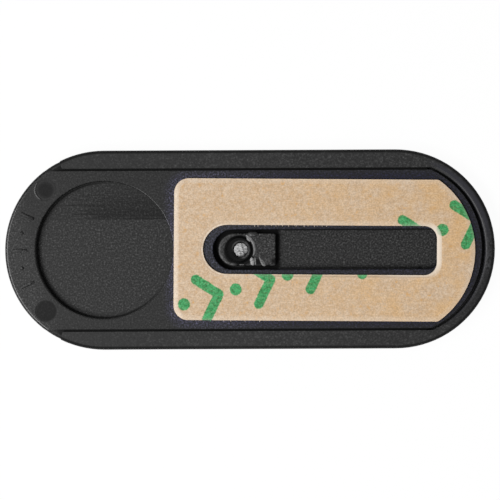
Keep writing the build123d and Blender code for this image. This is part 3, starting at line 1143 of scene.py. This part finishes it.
# %% [markdown]
# ## The scar on the stub
#
# The gate's stub broke off ragged. A disc with a few rings inset in it gets crumbs from noise, a wavy
# outline and a skirt that sinks into the stub. A groove runs across its right side and is painted darker,
# as painted shade, and its lower right corner stays dark.

# %% Crumbled top of the stub
scar_centre = Vector((-0.78, -0.01, 0)) * MM
scar_radius = 0.57 * MM
scar_rings = 6
scar_relief = 0.07 * MM
scar_skirt = 0.08 * MM
scar_ragged = 0.12
coarse_crumb, fine_crumb = 0.16 * MM, 0.07 * MM
crumb_level, edge_power, outline_waves = 0.6, 6, 3

bm = bmesh.new()
bmesh.ops.create_circle(bm, cap_ends=True, segments=40, radius=scar_radius)
lid = bm.faces[:]
for _ in range(scar_rings):
    bmesh.ops.inset_region(bm, faces=lid, thickness=scar_radius / (scar_rings + 1), use_boundary=True)
bmesh.ops.poke(bm, faces=lid)
for vertex in bm.verts:
    crumbs = noise.noise(vertex.co / coarse_crumb) + 0.5 * noise.noise(vertex.co / fine_crumb)
    edge = 1 - (vertex.co.length / scar_radius) ** edge_power
    vertex.co.z += scar_relief * edge * (crumb_level + crumb_level * crumbs)
    vertex.co.xy *= 1 + scar_ragged * noise.noise(outline_waves * vertex.co / scar_radius)
open_edges = [edge for edge in bm.edges if edge.is_boundary]
skirt = bmesh.ops.extrude_edge_only(bm, edges=open_edges)["geom"]
skirt_verts = [item for item in skirt if isinstance(item, bmesh.types.BMVert)]
bmesh.ops.translate(bm, verts=skirt_verts, vec=(0, 0, -scar_skirt))
scar_centre.z = cover_height(scar_centre.x, scar_centre.y)
bmesh.ops.translate(bm, verts=bm.verts, vec=scar_centre)
print("scar sits", round(scar_centre.z / MM, 3), "mm high")

# %% Groove across the scar
groove_x, groove_lean, groove_half, groove_depth = 0.44, 0.3, 0.11, 0.03 * MM
groove_shade, groove_edge = 0.35, 0.4
corner_across, corner_down, corner_start, corner_dark = 1.2, 2.0, 1.0, 0.8
scar_pale = 0.8

layer = make_pale(bm, scar_pale)
# Painted shade: points in the groove are made less pale.
for vertex in bm.verts:
    on_scar = (vertex.co - scar_centre) / scar_radius
    off_groove = abs(on_scar.x - groove_x + groove_lean * on_scar.y)
    shade = min(max(off_groove / groove_half - groove_edge, groove_shade), 1.0)
    low_right = corner_across * on_scar.x - corner_down * on_scar.y - corner_start
    low_right = min(max(low_right, 0.0), 1.0)
    vertex[layer] *= shade * (1 - corner_dark * low_right)
    vertex.co.z -= groove_depth * (1 - shade)
new_piece("gate_scar", bm, "cover", torn_plastic, smooth=False)

# %% [markdown]
# ## The lip round the well
#
# The second rib stands on the lug, round the right side of the well. It is paler towards its upper end,
# where the plastic was stretched most.

# %% Lip round the well
lip_radius, lip_width, lip_height = 1.35 * MM, 0.3 * MM, 0.07 * MM
lip_start, lip_sweep = radians(-26), radians(90)
lip_pale, lip_paler = 0.22, 0.3

bm = spin_rib(lip_radius, lip_width, lip_height, lip_start, lip_sweep)
lug_height = cover_height(well_centre.x + lip_radius, 0)
bmesh.ops.translate(bm, verts=bm.verts, vec=well_centre + Vector((0, 0, lug_height)))
layer = make_pale(bm, lip_pale)
for vertex in bm.verts:
    vertex[layer] += lip_paler * max((vertex.co.y - well_centre.y) / lip_radius, 0.0) ** 2
new_piece("well_lip", bm, "cover", torn_plastic)

# %% [markdown]
# ## Drops of flash
#
# Plastic that squeezed past the gate has set in drops and flaps. Each is a sphere, pushed about by noise,
# flattened and turned. A row of the table gives its place and its radii in millimetres, its turn in
# degrees, its taper and how pale it is.

# %% Drops beside the well
drops = (
    ("lip_knob", (-0.1, 0.9), (0.14, 0.25, 0.08), 36, 0.0, 0.36),
    ("flash_drop", (0.19, -1.03), (0.18, 0.34, 0.1), 8, 0.0, 0.6),
    ("flash_flap", (0.46, -0.98), (0.06, 0.32, 0.07), 4, 0.0, 0.4),
    ("flash_streak", (1.04, -1.02), (0.15, 0.46, 0.05), 34, 0.5, 0.2),
    # The glint is a thin drop made pale, partly a painted highlight on the lug's lower side.
    ("flash_glint", (-0.72, -1.3), (0.22, 0.045, 0.04), 2, 0.0, 0.3),
    ("flash_lump", (0.28, 1.3), (0.46, 0.22, 0.1), -4, 0.0, 0.02),
)
drop_wobble, drop_waves = 0.16, 2.2
lug_reach = 1.2

for name, (x, y), radii, turn, taper, share in drops:
    bm = bmesh.new()
    bmesh.ops.create_icosphere(bm, subdivisions=4, radius=1.0)
    for vertex in bm.verts:
        vertex.co *= 1 + drop_wobble * noise.noise(drop_waves * vertex.co + Vector((x, y, 0)))
        vertex.co.x *= 1 - taper * vertex.co.y
    seat_y = min(max(y, -lug_reach), lug_reach)
    place = Vector((x * MM, y * MM, cover_height(x * MM, seat_y * MM)))
    turned = Matrix.Translation(place) @ Matrix.Rotation(radians(turn), 4, "Z")
    shape = Matrix.Diagonal(Vector(radii) * MM).to_4x4()
    bmesh.ops.transform(bm, matrix=turned @ shape, verts=bm.verts)
    make_pale(bm, share)
    new_piece(name, bm, "cover", torn_plastic)

# %% [markdown]
# ## Loose fibres on the cut
#
# The die tears a few fibres loose along the upper cut of the paper's window, where they hang over the
# dark ledge, and along the paper's lower edge. Hair particles would do, but a score of stretched spheres
# is lighter and stays the same on every run. Noise read at fixed places gives each its place, length and
# lean.

# %% Fibres on two cuts
fibre_rows = (
    (16, 0.2 * MM, 6.9 * MM, 0.0),
    (5, -3.4 * MM, 1.2 * MM, cover_low.y),
)
fibre_half = Vector((0.018, 0.075, 0.014)) * MM
fibre_stretch, fibre_lean, fibre_pale = 0.8, 1.2, 2.0
chance_step = 1.7
chance_rows = (0.3, 5.4, 9.7)
liner_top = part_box("release_liner")[1].z
fibre_height = liner_top - 3 * fibre_half.z

bm = bmesh.new()
seed = 0
for count, first, last, start_y in fibre_rows:
    for number in range(count):
        chance = Vector([noise.noise(Vector((chance_step * seed, row, 0.0))) for row in chance_rows])
        x = first + (last - first) * (number + 0.5 + chance.x) / count
        cut = paper_surface.ray_cast(Vector((x, start_y, fibre_height)), Vector((0, 1, 0)))[0]
        half_length = fibre_half.y * (1.0 + fibre_stretch * chance.y)
        root = Vector((x, cut.y - 0.5 * half_length, fibre_height))
        lean = Matrix.Rotation(fibre_lean * chance.z, 4, "Z")
        shape = Matrix.Diagonal((fibre_half.x, half_length, fibre_half.z, 1))
        place = Matrix.Translation(root) @ lean @ shape
        bmesh.ops.create_icosphere(bm, subdivisions=2, radius=1.0, matrix=place)
        seed += 1
pale_and_sheen = bm.verts.layers.float.new("pale_and_sheen")
for vertex in bm.verts:
    vertex[pale_and_sheen] = fibre_pale
new_piece("cut_fibres", bm, "base", liner_paper)
